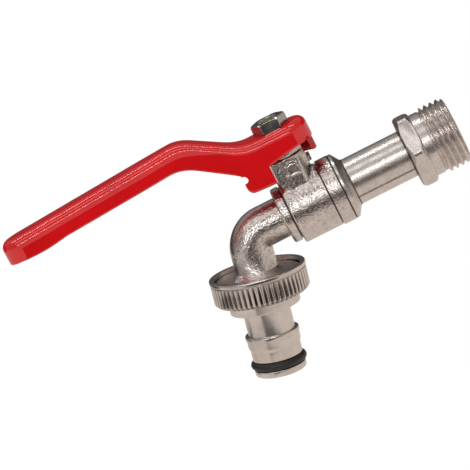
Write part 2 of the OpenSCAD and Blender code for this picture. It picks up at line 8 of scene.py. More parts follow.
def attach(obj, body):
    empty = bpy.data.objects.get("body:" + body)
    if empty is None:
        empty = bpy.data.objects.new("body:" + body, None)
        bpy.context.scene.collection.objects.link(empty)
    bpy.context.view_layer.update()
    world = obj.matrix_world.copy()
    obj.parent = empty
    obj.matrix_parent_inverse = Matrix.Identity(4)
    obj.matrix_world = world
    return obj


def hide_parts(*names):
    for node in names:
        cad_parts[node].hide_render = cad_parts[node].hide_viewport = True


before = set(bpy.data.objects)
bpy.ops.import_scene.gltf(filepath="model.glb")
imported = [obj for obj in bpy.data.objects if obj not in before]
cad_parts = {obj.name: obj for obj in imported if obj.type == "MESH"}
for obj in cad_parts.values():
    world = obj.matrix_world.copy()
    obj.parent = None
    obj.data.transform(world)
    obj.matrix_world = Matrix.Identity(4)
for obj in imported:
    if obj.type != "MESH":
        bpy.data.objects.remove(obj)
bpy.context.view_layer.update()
mm = 0.001


# Small tools for modelling; every number that goes into them is in millimetres

def deselectAll():
    if bpy.context.object and bpy.context.object.mode != "OBJECT":
        bpy.ops.object.mode_set(mode="OBJECT")
    for item in list(bpy.context.selected_objects):
        item.select_set(False)


def makeActive(piece):
    deselectAll()
    piece.select_set(True)
    bpy.context.view_layer.objects.active = piece


# A ring of points is extruded from loop to loop; the new points keep the order of the old ones
def loftLoops(name, loops, closed=False, capStart=True, capEnd=True):
    deselectAll()
    count = len(loops[0])
    bpy.ops.mesh.primitive_circle_add(vertices=count, radius=mm, fill_type="NOTHING")
    piece = bpy.context.object
    piece.name = piece.data.name = name
    bpy.ops.object.mode_set(mode="EDIT")
    for index, loop in enumerate(loops):
        if index:
            bpy.ops.mesh.extrude_region_move()
        mesh = bmesh.from_edit_mesh(piece.data)
        for vert, point in zip(list(mesh.verts)[-count:], loop):
            vert.co = Vector(point) * mm
    if capEnd and not closed:
        bpy.ops.mesh.edge_face_add()
    if capStart and not closed:
        bpy.ops.mesh.select_all(action="DESELECT")
        mesh = bmesh.from_edit_mesh(piece.data)
        for vert in list(mesh.verts)[:count]:
            vert.select = True
        mesh.select_flush(True)
        bpy.ops.mesh.edge_face_add()
    bpy.ops.mesh.select_all(action="SELECT")
    bpy.ops.mesh.remove_doubles(threshold=2e-7)
    bpy.ops.mesh.normals_make_consistent(inside=False)
    bpy.ops.object.mode_set(mode="OBJECT")
    return piece


# Outline of (place, radius, rounding): a corner with a third number is rounded off
def softened(outline, steps=4):
    points = []
    for index, corner in enumerate(outline):
        here = Vector(corner[:2])
        soft = corner[2] if len(corner) > 2 else 0
        if not soft or index in (0, len(outline) - 1):
            points.append(here)
            continue
        before = Vector(outline[index - 1][:2]) - here
        after = Vector(outline[index + 1][:2]) - here
        reach = min(soft / math.tan(before.angle(after) / 2), 0.48 * before.length, 0.48 * after.length)
        start, end = here + before.normalized() * reach, here + after.normalized() * reach
        for step in range(steps + 1):
            s = step / steps
            points.append(start * (1 - s) ** 2 + here * (2 * s * (1 - s)) + end * s * s)
    return points


def turned(name, outline, point, segments=128, closed=False, ripple=None):
    angles = [2 * math.pi * k / segments for k in range(segments)]
    loops = [[point(t, radius + (ripple(t, radius, angle) if ripple else 0), angle) for angle in angles]
             for t, radius in softened(outline)]
    if closed:
        loops.append(loops[0])
    return loftLoops(name, loops, closed=closed)


def prism(name, outline, low, high):
    return loftLoops(name, [[low(*point) for point in outline], [high(*point) for point in outline]])


def applyModifier(piece, kind, **settings):
    makeActive(piece)
    modifier = piece.modifiers.new("step", kind)
    for key, value in settings.items():
        setattr(modifier, key, value)
    bpy.ops.object.modifier_apply(modifier=modifier.name)


def combine(piece, other, operation="UNION"):
    applyModifier(piece, "BOOLEAN", object=other, operation=operation, solver="EXACT")
    bpy.data.objects.remove(other, do_unlink=True)
    return piece


# Turns sharp joints between united shapes into cast ones
def castSkin(piece, voxel, rounds):
    applyModifier(piece, "REMESH", mode="VOXEL", voxel_size=voxel * mm, use_smooth_shade=True)
    applyModifier(piece, "SMOOTH", factor=0.5, iterations=rounds)
    return piece


def smoothShade(piece, angle=35):
    makeActive(piece)
    bpy.ops.object.shade_smooth_by_angle(angle=math.radians(angle))
    return piece


def placePiece(piece, body, slot, material, *nodes):
    piece.data.materials.clear()
    piece.data.materials.append(material)
    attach(piece, body)
    if nodes:
        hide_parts(*nodes)


# Where things are: the pipe along X, the stem along Z, the outlet leaning from the spout's corner
axes = {
    "stemX": -43.928,      # stem axis on the pipe axis
    "elbowX": 20.3,        # corner of the spout, from the stem axis
    "outletLean": 13,      # degrees off straight down
}
lean = math.radians(axes["outletLean"])
outletCorner = Vector((axes["stemX"] - axes["elbowX"], 0, 0))
outletDown = Vector((-math.sin(lean), 0, -math.cos(lean)))
outletFront = Vector((0, -1, 0))
outletAcross = outletDown.cross(outletFront)


def pipePoint(x, radius, angle):
    return Vector((x + axes["stemX"], -radius * math.cos(angle), radius * math.sin(angle)))


def stemPoint(z, radius, angle):
    return Vector((axes["stemX"] + radius * math.cos(angle), radius * math.sin(angle), z))


def outletPoint(t, radius, angle):
    across = outletFront * math.cos(angle) + outletAcross * math.sin(angle)
    return outletCorner + outletDown * t + across * radius


# Shader sums written as plain expressions
class Value:
    def __init__(self, finish, socket):
        self.finish, self.socket = finish, socket

    def maths(self, operation, *values):
        made = self.finish.node("ShaderNodeMath", {"operation": operation}, dict(enumerate(values)))
        return Value(self.finish, made.outputs[0])

    def __add__(self, other): return self.maths("ADD", self, other)
    def __radd__(self, other): return self.maths("ADD", other, self)
    def __sub__(self, other): return self.maths("SUBTRACT", self, other)
    def __rsub__(self, other): return self.maths("SUBTRACT", other, self)
    def __mul__(self, other): return self.maths("MULTIPLY", self, other)
    def __rmul__(self, other): return self.maths("MULTIPLY", other, self)
    def __truediv__(self, other): return self.maths("DIVIDE", self, other)
    def __pow__(self, other): return self.maths("POWER", self, other)


class Finish:
    def __init__(self, name, **sockets):
        self.material = bpy.data.materials.new(name)
        self.material.use_nodes = True
        self.tree = self.material.node_tree
        self.shader = self.tree.nodes["Principled BSDF"]
        self.place = Value(self, self.node("ShaderNodeTexCoord").outputs["Object"])
        self.set(self.shader, {key: value for key, value in sockets.items()})

    def set(self, node, values):
        for key, value in values.items():
            socket = node.inputs[key]
            if isinstance(value, Value):
                self.tree.links.new(value.socket, socket)
            elif (hasattr(socket.default_value, "__len__") and len(socket.default_value) == 4
                  and len(value) == 3):
                socket.default_value = (*value, 1)
            else:
                socket.default_value = value

    def node(self, kind, settings=None, values=None):
        made = self.tree.nodes.new(kind)
        for key, value in (settings or {}).items():
            if key == "stops":
                elements = made.color_ramp.elements
                while len(elements) < len(value):
                    elements.new(1)
                for element, (position, shade) in zip(elements, value):
                    element.position, element.color = position, (shade, shade, shade, 1)
            else:
                setattr(made, key, value)
        self.set(made, values or {})
        return made

    def out(self, node, name=0):
        return Value(self, node.outputs[name])

    def grain(self, size, detail=2, roughness=0.5, stretch=(1, 1, 1)):
        mapped = self.node("ShaderNodeMapping", {}, {"Vector": self.place, "Scale": stretch})
        noise = self.node("ShaderNodeTexNoise", {}, {"Vector": self.out(mapped), "Scale": 1 / (size * mm),
                                                   "Detail": detail, "Roughness": roughness})
        return self.out(noise)

    def ramp(self, value, *stops):
        return self.out(self.node("ShaderNodeValToRGB", {"stops": stops}, {"Fac": value}))

    def mix(self, factor, first, second):
        made = self.node("ShaderNodeMix", {"data_type": "RGBA"}, {"Factor": factor})
        for socket, value in ((made.inputs[6], first), (made.inputs[7], second)):
            if isinstance(value, Value):
                self.tree.links.new(value.socket, socket)
            else:
                socket.default_value = (*value, 1)
        return Value(self, made.outputs[2])

    def vector(self, operation, first, second=None, name="Vector"):
        values = {0: first} if second is None else {0: first, 1: second}
        return self.out(self.node("ShaderNodeVectorMath", {"operation": operation}, values), name)

    def fromAxis(self, point, direction):     # how far along an axis and how far away from it
        away = self.vector("SUBTRACT", self.place, tuple(point * mm))
        along = self.vector("DOT_PRODUCT", away, tuple(direction), "Value")
        return along, self.vector("LENGTH", self.vector("CROSS_PRODUCT", away, tuple(direction)), name="Value")

    def between(self, value, first, last):     # millimetres, rising from 0 at first to 1 at last
        ends = {"Value": value, "From Min": first * mm, "From Max": last * mm}
        return self.out(self.node("ShaderNodeMapRange", {}, ends))

    def bump(self, height, distance):
        values = {"Height": height, "Distance": distance * mm, "Strength": 1.0}
        return self.out(self.node("ShaderNodeBump", {}, values))

    def wear(self, **values):
        self.set(self.shader, {key.replace("_", " "): value for key, value in values.items()})
        return self.material


# Finishes

def platedCast(name, look):
    finish = Finish(name, **{"Metallic": 1.0})
    coarse = finish.grain(3.1, 3)
    fine = finish.grain(look["grainSize"], 1, 0.55)
    pits = finish.ramp(finish.grain(0.9, 2), (0.0, 0.0), (0.36, 0.0), (0.46, 1.0))
    height = fine + pits * look["pits"] + coarse * 0.15
    colour = finish.mix(finish.ramp(coarse, (0.3, 0.25), (0.7, 1.0)) * pits, look["dark"], look["light"])
    # Painted reflection: dark specks put into the colour by the fine grain, standing for the dark room reflected in
    # the cast grain
    reflectionSpeck = finish.ramp(fine, (0.36, 1.0), (0.47, 0.0)) * look["reflectionSpecks"]
    colour = finish.mix(reflectionSpeck, colour, look["reflectionSpeck"])
    along, far = finish.fromAxis(Vector((axes["stemX"], 0, 0)), Vector((1, 0, 0)))
    # Painted shade: thin dark lines laid into the colour at these places along the pipe, where the grooves and edges
    # fall dark
    for x in look["joints"]:
        off = along - x * mm
        line = finish.between(off.maths("ABSOLUTE", off), *look["jointEdge"]) * finish.between(far, *look["bodyEdge"])
        colour = finish.mix(line, colour, look["grooveShade"])
    span = look["rough"] - look["smooth"]
    roughness = look["smooth"] + span * finish.ramp(coarse, (0.35, 0.9), (0.65, 0.2))
    return finish.wear(Base_Color=colour, Roughness=roughness,
                       Normal=finish.bump(height, look["grainDepth"]))


# The darkest colour in each look is painted shade for the lines at the grooves and edges
castLooks = {
    # The dark speck colour and its amount in each look are painted reflection of a dark room in the grain
    "chamberCast": {
        "light": (0.80, 0.75, 0.72), "dark": (0.62, 0.57, 0.54), "reflectionSpeck": (0.30, 0.26, 0.245),
        "grooveShade": (0.10, 0.085, 0.08), "grainSize": 0.45, "grainDepth": 0.12, "reflectionSpecks": 0.25, "pits": 0.08,
        "joints": (-6.12, 6.45, 10.7), "jointEdge": (0.3, 0.12), "bodyEdge": (10.7, 10.5),
        "smooth": 0.11, "rough": 0.17},
    "tubeCast": {
        "light": (0.80, 0.76, 0.73), "dark": (0.66, 0.61, 0.58), "reflectionSpeck": (0.42, 0.38, 0.36),
        "grooveShade": (0.12, 0.10, 0.095), "grainSize": 0.3, "grainDepth": 0.03, "reflectionSpecks": 0.2, "pits": 0.06,
        "joints": (10.75, 13.75, 32.2), "jointEdge": (0.3, 0.12), "bodyEdge": (10.7, 10.5),
        "smooth": 0.22, "rough": 0.32},
}


def platedTurned():
    look = {"light": (0.80, 0.75, 0.715), "dark": (0.66, 0.61, 0.57), "gapShade": (0.13, 0.11, 0.10),
            "gapEdge": (14.42, 14.02), "faceEdge": (13.0, 13.4), "bandStart": (12.7, 12.8), "bandEnd": (19.2, 18.2),
            "smooth": 0.15, "rough": 0.27}
    finish = Finish("platedTurned", **{"Metallic": 1.0})
    cloud = finish.grain(4.0, 3)
    lines = finish.grain(0.16, 2)
    along, far = finish.fromAxis(outletCorner, outletDown)
    # Painted shade: the knurl's valleys, picked out by radius and place along the cap, are darkened to stand for the
    # shade between the ridges
    gapShade = finish.between(far, *look["gapEdge"]) * finish.between(far, *look["faceEdge"])
    gapShade = gapShade * finish.between(along, *look["bandStart"]) * finish.between(along, *look["bandEnd"])
    colour = finish.mix(finish.ramp(cloud, (0.3, 0.1), (0.7, 1.0)), look["dark"], look["light"])
    span = look["rough"] - look["smooth"]
    roughness = look["smooth"] + span * finish.ramp(cloud, (0.35, 1.0), (0.7, 0.2))
    return finish.wear(Base_Color=finish.mix(gapShade, colour, look["gapShade"]), Roughness=roughness,
                       Normal=finish.bump(lines + cloud * 2, 0.006))


def redCoating():
    look = {"red": (0.60, 0.003, 0.006), "deep": (0.52, 0.002, 0.004), "roughness": 0.4}
    finish = Finish("redCoating", **{"Coat Roughness": 0.02, "Coat IOR": 1.75, "Specular IOR Level": 0.0})
    cloud = finish.grain(9.0, 2)
    peel = finish.grain(2.4, 1)
    colour = finish.mix(finish.ramp(cloud, (0.3, 0.0), (0.7, 1.0)), look["deep"], look["red"])
    roughness = look["roughness"] + 0.08 * cloud
    return finish.wear(Base_Color=colour, Roughness=roughness, Coat_Weight=0.9 + 0.1 * cloud,
                       Normal=finish.bump(peel + cloud * 2, 0.03))


def zincSteel():
    look = {"light": (0.58, 0.59, 0.56), "dark": (0.30, 0.31, 0.30)}
    finish = Finish("zincSteel", **{"Metallic": 1.0})
    cloud = finish.grain(1.6, 3)
    colour = finish.mix(cloud, look["dark"], look["light"])
    return finish.wear(Base_Color=colour, Roughness=0.08 + 0.14 * cloud,
                       Normal=finish.bump(finish.grain(0.3, 2), 0.012))


def stemBrass():
    look = {"light": (0.74, 0.72, 0.42), "dark": (0.5, 0.47, 0.27)}
    finish = Finish("stemBrass", **{"Metallic": 1.0})
    cloud = finish.grain(1.2, 3)
    colour = finish.mix(finish.ramp(cloud, (0.3, 0.0), (0.6, 1.0)), look["dark"], look["light"])
    return finish.wear(Base_Color=colour, Roughness=0.24 + 0.2 * cloud,
                       Normal=finish.bump(finish.grain(0.25, 2), 0.012))


def brightChrome():
    finish = Finish("brightChrome", **{"Metallic": 1.0})
    cloud = finish.grain(2.5, 2)
    colour = finish.mix(cloud, (0.72, 0.73, 0.75), (0.86, 0.87, 0.88))
    return finish.wear(Base_Color=colour, Roughness=0.06 + 0.06 * cloud)


def blackRubber():
    look = {"light": (0.016, 0.016, 0.017), "dark": (0.006, 0.006, 0.007)}
    finish = Finish("blackRubber", **{"Specular IOR Level": 0.5})
    cloud = finish.grain(1.1, 3)
    colour = finish.mix(cloud, look["dark"], look["light"])
    return finish.wear(Base_Color=colour, Roughness=0.34 + 0.2 * cloud,
                       Normal=finish.bump(finish.grain(0.2, 2), 0.01))


def whiteSeal():
    finish = Finish("whiteSeal", **{"Specular IOR Level": 0.45, "Subsurface Weight": 0.0})
    cloud = finish.grain(1.8, 3)
    colour = finish.mix(cloud, (0.80, 0.80, 0.77), (0.90, 0.90, 0.88))
    return finish.wear(Base_Color=colour, Roughness=0.36 + 0.15 * cloud)


finishes = {
    "cast": platedCast("chamberCast", castLooks["chamberCast"]),
    "tube": platedCast("tubeCast", castLooks["tubeCast"]),
    "turned": platedTurned(), "red": redCoating(), "zinc": zincSteel(), "brass": stemBrass(),
    "chrome": brightChrome(), "rubber": blackRubber(), "seal": whiteSeal(),
}
print("finishes made")


# Valve body: chamber, spout and neck are one casting

body = {
    "chamberRadius": 10.0, "bandRadius": 10.3, "bandX": 6.6, "faceX": 10.7, "backX": 5.9,
    "collarRadius": 8.7, "collarX": 8.9, "groove": 0.45, "grooveDepth": 0.5, "cut": 0.3,
    "spoutRadius": 6.2, "outletRadius": 6.4, "bendRadius": 6.5, "bossRadius": 12.9, "bossTop": 12.4, "bossEnd": 16.3,
    "neckRadius": 5.6, "neckTop": 21.4, "lugFace": 7.0, "lugOpen": 5.1, "lugShut": 5.7,
    "lugTop": 16.2, "lugBottom": 10.6,
    "stepX": 6.6, "stepLow": 11.3, "stepHigh": 12.8, "stepIn": 0.2,
    "pocketZ": 13.4, "pocketIn": 0.3, "pocketWide": 2.7, "pocketHigh": 2.55, "pocketRound": 1.0, "pocketDeep": 2,
    "studRadius": 1.95, "studHigh": 3.1, "studFloor": 3.6, "studX": 0.37, "studDrop": 1.0, "voxel": 0.2,
}


def spoutLoops(radius, lowRadius, startX, endT, segments=96):
    bend = body["bendRadius"]
    turn = math.pi / 2 - lean
    bendX = axes["elbowX"] - bend * math.tan(turn / 2)
    stations = [(Vector((axes["stemX"] + startX, 0, 0)), Vector((-1, 0, 0)), radius)]
    steps = 26
    for step in range(steps + 1):
        angle = turn * step / steps
        heading = Vector((-math.cos(angle), 0, -math.sin(angle)))
        centre = Vector((axes["stemX"] - bendX - bend * math.sin(angle), 0, -bend + bend * math.cos(angle)))
        stations.append((centre, heading, radius + (lowRadius - radius) * step / steps))
    stations.append((outletCorner + outletDown * endT, outletDown, lowRadius))
    loops = []
    for centre, heading, size in stations:
        across = heading.cross(outletFront)
        loops.append([centre + (outletFront * math.cos(angle) + across * math.sin(angle)) * size
                      for angle in (2 * math.pi * k / segments for k in range(segments))])
    return loops


def lugOutline(half, flatX):
    arc = [math.radians(a) for a in range(0, 91, 6)]
    return [(-half, 0), (-half, -body["lugFace"])] + [
        (flatX + (body["neckRadius"] - 0.3 - flatX) * math.sin(a), -body["lugFace"] * math.cos(a)) for a in arc]


def lugFront(half):
    low, high = body["lugBottom"], body["lugTop"]
    arc = [math.radians(a) for a in range(0, 91, 6)]
    reach = low - 7
    return ([(half + 1, high), (-half - 1, high), (-half - 1, low)]
            + [(-half + half * (1 - math.cos(a)), low - reach * math.sin(a)) for a in arc]
            + [(half + 1, low - reach)])


def makeNeck():
    stemX = axes["stemX"]
    face = body["lugFace"]
    slab = turned("neckCasting", [(-5.3, 9.3), (-4.7, 9.93), (6.0, 9.93), (6.4, 9.5)], pipePoint, 160)
    neck = turned("neck", [(2, body["neckRadius"]), (body["neckTop"], body["neckRadius"], 0.4),
                           (body["neckTop"], 2)], stemPoint, 96)
    casting = castSkin(combine(slab, neck), body["voxel"], 34)
    for side, outline in ((1, lugOutline(body["lugOpen"], 1.5)),
                          (-1, [(-body["lugOpen"], 0), (-body["lugOpen"], -face), (body["lugShut"], -face),
                                (body["lugShut"], 1.8 - face), (body["neckRadius"] - 1.2, 0)])):
        lug = prism("lug", outline, lambda x, y, s=side: (stemX + x * s, y * s, 2),
                    lambda x, y, s=side: (stemX + x * s, y * s, body["lugTop"]))
        half = body["lugOpen"] + (0 if side == 1 else 1)
        mask = prism("lugMask", lugFront(half), lambda x, z, s=side: (stemX + x * s, -1.5 * s, z),
                     lambda x, z, s=side: (stemX + x * s, -9 * s, z))
        combine(casting, combine(lug, mask, "INTERSECT"))
    stepX, stepY = body["stepX"], face - body["stepIn"]
    combine(casting, prism("lowStep", [(0, 0), (stepX, 0), (stepX, stepY), (0, stepY)],
                           lambda x, y: (stemX + x, y, body["stepLow"]),
                           lambda x, y: (stemX + x, y, body["stepHigh"])))
    midX, midZ = stemX - body["pocketIn"], body["pocketZ"]
    wide, high, soft = body["pocketWide"], body["pocketHigh"], body["pocketRound"]
    pocket = softened([(-wide, high, 0), (wide, high, soft), (wide, -high, soft), (-wide, -high, soft),
                       (-wide, high, soft), (0.7 - wide, high, 0)])[1:-1]
    recess = prism("recess", [(p[0], p[1]) for p in pocket], lambda x, z: (midX + x, -face - 1, midZ + z),
                   lambda x, z: (midX + x, body["pocketDeep"] - face, midZ + z))
    combine(casting, recess, "DIFFERENCE")
    studX, studZ, floor = stemX + body["studX"], midZ - body["studDrop"], body["studFloor"] - face
    studSide = [(0, body["studRadius"]), (body["studHigh"], body["studRadius"], 0.25), (body["studHigh"], 1)]
    stud = turned("stud", studSide,
                  lambda t, r, a: Vector((studX + r * math.cos(a), floor - t, studZ + r * math.sin(a))), 48)
    combine(casting, stud)
    return castSkin(casting, body["voxel"], 4)


def bossThread(t, radius, angle):
    if radius <= body["bossRadius"] - 0.3:
        return 0
    turns = (t - body["bossTop"]) / 1.3
    return -0.3 * (0.5 + 0.5 * math.cos(2 * math.pi * turns + angle))


def makeValveBody():
    b = body
    chamber = turned("valveBody", [
        (-b["collarX"], 5.0), (-b["collarX"], b["collarRadius"], 0.9),
        (-b["backX"] - b["groove"], b["collarRadius"], 0.15),
        (-b["backX"] - b["groove"], b["collarRadius"] - b["grooveDepth"]),
        (-b["backX"], b["collarRadius"] - b["grooveDepth"]), (-b["backX"], b["chamberRadius"], 0.6),
        (b["bandX"] - b["cut"], b["chamberRadius"], 0.1), (b["bandX"] - b["cut"], b["chamberRadius"] - b["cut"]),
        (b["bandX"], b["chamberRadius"] - b["cut"]), (b["bandX"], b["bandRadius"], 0.12),
        (b["faceX"], b["bandRadius"], 0.3), (b["faceX"], 5.0)], pipePoint, 160)
    spout = loftLoops("spout", spoutLoops(b["spoutRadius"], b["outletRadius"], -2, b["bossTop"] + 1))
    boss = turned("boss", [
        (b["bossTop"] - 2.4, 6.0), (b["bossTop"] - 1.6, b["outletRadius"] + 0.02, 0.8),
        (b["bossTop"], b["outletRadius"] + 1.5, 0.3),
        (b["bossTop"], b["bossRadius"], 0.4), (b["bossEnd"], b["bossRadius"], 0.4), (b["bossEnd"], 5)],
        outletPoint, 128, ripple=bossThread)
    piece = combine(chamber, combine(spout, boss))
    combine(piece, makeNeck())
    seatRoom = [(-7.2, 7.6), (5.9, 7.6), (5.9, 8.65), (b["faceX"] + 1, 8.65)]
    combine(piece, turned("seatRoom", seatRoom, pipePoint, 96), "DIFFERENCE")
    combine(piece, loftLoops("waterWay", spoutLoops(4.7, 4.8, -6.5, b["bossEnd"] + 1, 64)), "DIFFERENCE")
    stemBore = [(0, 4.65), (9.76, 4.65), (9.76, 3.55), (22.4, 3.55)]
    combine(piece, turned("stemBore", stemBore, stemPoint, 64), "DIFFERENCE")
    return smoothShade(piece)


valveBody = makeValveBody()
placePiece(valveBody, "valve", "plated_cast", finishes["cast"], "valve_body")
print("valve body made", len(valveBody.data.polygons))


# Inlet end: tube with casting fins, hexagon and pipe thread

inlet = {
    "startX": 10.7, "spigotX": 7.2, "spigotRadius": 8.6, "shoulderRadius": 10.2, "shoulderX": 11.7, "tubeX": 13.6,
    "tubeRadius": 7.2, "hexX": 32.3, "hexFlats": 21.0, "hexCorner": 11.85, "hexTurn": 5, "collarX": 37.2,
    "collarRadius": 9.8, "threadX": 40.3, "threadRadius": 10.48, "threadDepth": 1.16, "pitch": 1.814,
    "threadEnd": 47.556, "faceX": 48.35, "crestX": 40.507, "chamferX": 46.9, "faceRadius": 9.3,
    "mouthRadius": 6.8, "mouthDepth": 9.0, "boreRadius": 4.7,
    "finAngles": (-32, 148), "finHeight": 0.35, "finWidth": 0.055,
}


def threadProfile(x, angle):
    turns = (x - inlet["crestX"]) / inlet["pitch"] + angle / (2 * math.pi)
    part = abs((turns % 1) - 0.5) * 2                       # 0 on a crest, 1 in a root
    rise = min(1.0, (1 - part) / 0.88)
    rise = rise * (1.12 - 0.12 * rise)
    return inlet["threadRadius"] - inlet["threadDepth"] * (1 - rise)


def makeInletEnd():
    v = inlet
    fins = [math.radians(angle) for angle in v["finAngles"]]

    def fin(t, radius, angle):
        if not v["tubeX"] - 0.4 < t < v["hexX"] + 0.4 or radius < v["tubeRadius"] - 0.1:
            return 0
        away = min(abs((angle - f + math.pi) % (2 * math.pi) - math.pi) for f in fins)
        return v["finHeight"] * math.exp(-(away / v["finWidth"]) ** 2)

    def place(t, radius, angle):
        if v["threadX"] <= t <= v["threadEnd"] + 0.6 and radius > v["faceRadius"] - 0.9:
            fade = min(1, (t - v["threadX"]) / 0.5)
            envelope = v["threadRadius"] - max(0, t - v["chamferX"]) * 0.6
            radius = min(threadProfile(t, angle) * fade + 9.3 * (1 - fade), envelope)
        return pipePoint(t, radius, angle)

    steps = 96
    length = v["threadEnd"] + 0.6 - v["threadX"]
    thread = [(v["threadX"] + length * k / steps, v["faceRadius"]) for k in range(steps + 1)]
    tube = turned("inletEnd", [
        (v["spigotX"], v["boreRadius"]), (v["spigotX"], v["spigotRadius"]), (v["startX"], v["spigotRadius"]),
        (v["startX"], v["shoulderRadius"], 0.2), (v["shoulderX"], v["shoulderRadius"], 0.5),
        (v["tubeX"], v["tubeRadius"] + 0.1, 1.2)]
        + [(v["tubeX"] + 1.0 + k, v["tubeRadius"]) for k in range(18)] + [
        (v["collarX"] - 1, v["tubeRadius"]), (v["collarX"] - 1, v["collarRadius"]),
        (v["threadX"] - 0.5, v["collarRadius"], 0.3)] + thread + [
        (v["faceX"], v["faceRadius"] - 0.25, 0.25), (v["faceX"], v["mouthRadius"], 0.2),
        (v["faceX"] - v["mouthDepth"] + 2, v["mouthRadius"]), (v["faceX"] - v["mouthDepth"], v["boreRadius"])],
        place, 192, closed=True, ripple=fin)
    corner = v["hexFlats"] / 2 / math.cos(math.pi / 6)
    start = math.radians(v["hexTurn"])
    hexagon = loftLoops("hexagon", [[pipePoint(x, corner, start + math.pi / 3 * k) for k in range(6)]
                                    for x in (v["hexX"], v["collarX"])])
    applyModifier(hexagon, "BEVEL", width=0.35 * mm, segments=3, limit_method="ANGLE")
    combine(hexagon, turned("cornerTurning", [
        (v["hexX"] - 0.1, 10.2), (v["hexX"], 10.3), (v["hexX"] + 1.1, v["hexCorner"], 0.8),
        (v["collarX"] - 1.1, v["hexCorner"], 0.8), (v["collarX"], 10.3), (v["collarX"] + 0.1, 10.2)],
        pipePoint, 128), "INTERSECT")
    hexBore = [(v["hexX"] - 1, 6.9), (v["collarX"] + 1, 6.9)]
    combine(hexagon, turned("hexBore", hexBore, pipePoint, 96), "DIFFERENCE")
    return smoothShade(combine(tube, hexagon), 38)


inletEnd = makeInletEnd()
placePiece(inletEnd, "valve", "plated_cast", finishes["tube"], "inlet_end")
print("inlet end made", len(inletEnd.data.polygons))


# Hose connector: knurled cap and plug-in nose, turned from one bar

hose = {
    "rim": 11.1, "lipRadius": 14.7, "lip": 1.2, "neckRadius": 13.95, "knurlStart": 12.7, "knurlRadius": 14.5,
    "knurlDepth": 0.55, "knurls": 56, "capEnd": 19.2, "capBore": 13.22, "capFloor": 18.1, "hubRadius": 10.65,
    "hubEnd": 22.6, "noseRadius": 7.1, "ridgeStart": 30.1, "beadEnd": 31.4, "beadRadius": 8.2, "ridgeEnd": 33.8,
    "ridgeRadius": 7.95, "taperEnd": 34.8, "neckNose": 7.55,
    "grooveStart": 37.9, "grooveEnd": 40.7, "grooveRadius": 5.9, "noseEnd": 42.75, "tipRadius": 7.8,
    "noseBore": 4.9,
}


def makeHoseConnector():
    h = hose
    perKnurl = 6
    profile = (0, 0.06, 0.42, 1, 1, 0.42)

    def knurl(t, radius, angle):
        if not h["knurlStart"] < t < h["capEnd"] or radius < h["knurlRadius"] - 1.2:
            return 0
        index = round(angle / (2 * math.pi) * h["knurls"] * perKnurl) % perKnurl
        fade = min(1, (t - h["knurlStart"]) / 0.25)
        return -h["knurlDepth"] * profile[index] * fade

    piece = turned("hoseConnector", [
        (h["rim"], h["capBore"]), (h["rim"], h["lipRadius"] - 0.1, 0.35), (h["rim"] + h["lip"], h["lipRadius"], 0.25),
        (h["rim"] + h["lip"] + 0.05, h["neckRadius"], 0.1), (h["knurlStart"], h["neckRadius"]),
        (h["knurlStart"] + 0.05, h["knurlRadius"], 0.1), (h["knurlStart"] + 2.4, h["knurlRadius"]),
        (h["capEnd"] - 2.2, h["knurlRadius"]), (h["capEnd"] - 0.9, h["knurlRadius"], 0.3),
        (h["capEnd"], h["knurlRadius"] - 0.9, 0.3),
        (h["capEnd"], h["hubRadius"], 0.2), (h["hubEnd"], h["hubRadius"], 0.5),
        (h["hubEnd"], h["noseRadius"] + 0.6), (h["hubEnd"] + 0.6, h["noseRadius"], 0.4),
        (h["ridgeStart"], h["noseRadius"], 0.15), (h["ridgeStart"], h["beadRadius"], 0.35),
        (h["beadEnd"], h["beadRadius"], 0.4), (h["beadEnd"] + 0.15, h["ridgeRadius"], 0.1),
        (h["ridgeEnd"], h["ridgeRadius"], 0.4), (h["taperEnd"], h["neckNose"], 0.5),
        (h["grooveStart"], h["neckNose"], 0.15),
        (h["grooveStart"], h["grooveRadius"]), (h["grooveEnd"], h["grooveRadius"]),
        (h["grooveEnd"], h["tipRadius"], 0.25), (h["noseEnd"], h["tipRadius"], 0.9),
        (h["noseEnd"], h["noseBore"] + 0.7, 0.2), (h["noseEnd"] - 0.7, h["noseBore"]),
        (h["capFloor"], h["noseBore"]), (h["capFloor"], h["capBore"])],
        outletPoint, h["knurls"] * perKnurl, closed=True, ripple=knurl)
    return smoothShade(piece, 32)


hoseConnector = makeHoseConnector()
placePiece(hoseConnector, "connector", "plated_turned", finishes["turned"], "hose_connector")
print("hose connector made", len(hoseConnector.data.polygons))


# Ring on the nose, with the fine flash line of its mould

ring = {"centre": 39.3, "radius": 7.2, "section": 1.3, "flash": 0.04}


def makeNoseRing():
    loops = []
    segments, around = 128, 32
    for k in range(around):
        angle = 2 * math.pi * k / around
        size = ring["section"] + (ring["flash"] if k == 0 else 0) - 0.02
        loops.append([outletPoint(ring["centre"] + size * math.sin(angle), ring["radius"] + size * math.cos(angle),
                                  2 * math.pi * j / segments) for j in range(segments)])
    loops.append(loops[0])
    return smoothShade(loftLoops("noseRing", loops, closed=True), 60)


noseRing = makeNoseRing()
placePiece(noseRing, "connector", "black_rubber", finishes["rubber"], "nose_oring")


# Lever: bent sheet with a thick red dip coating

lever = {
    "headTop": 24.8, "headReach": 10.0, "headRound": 7.7, "headWidth": 16.0, "waistWidth": 10.8, "gripWidth": 12.8,
    "reach": 86.2, "crankIn": 10.6, "crankOut": 26.2, "crankRise": 9.35, "gripDrop": 3.65,
    "headSkirt": 6.6, "headRake": 0.17, "rakeStart": -4.5, "lagIn": 0.9, "lagOut": 2.3,
    "gripSkirt": 6.95, "tipSkirt": 6.7,
    "edgeRadius": 2.4, "sheet": 1.8, "earBottom": 11.1, "earIn": 5.4, "earOut": 14.1, "earRadius": 2.0,
    "backEar": 13.3,
    "notchRadius": 1.3, "notchU": 13.9, "notchZ": 15.7, "belly": 0.5, "bellyFrom": 67.0, "bellyTo": 82.0,
    "crown": 0.25,
}


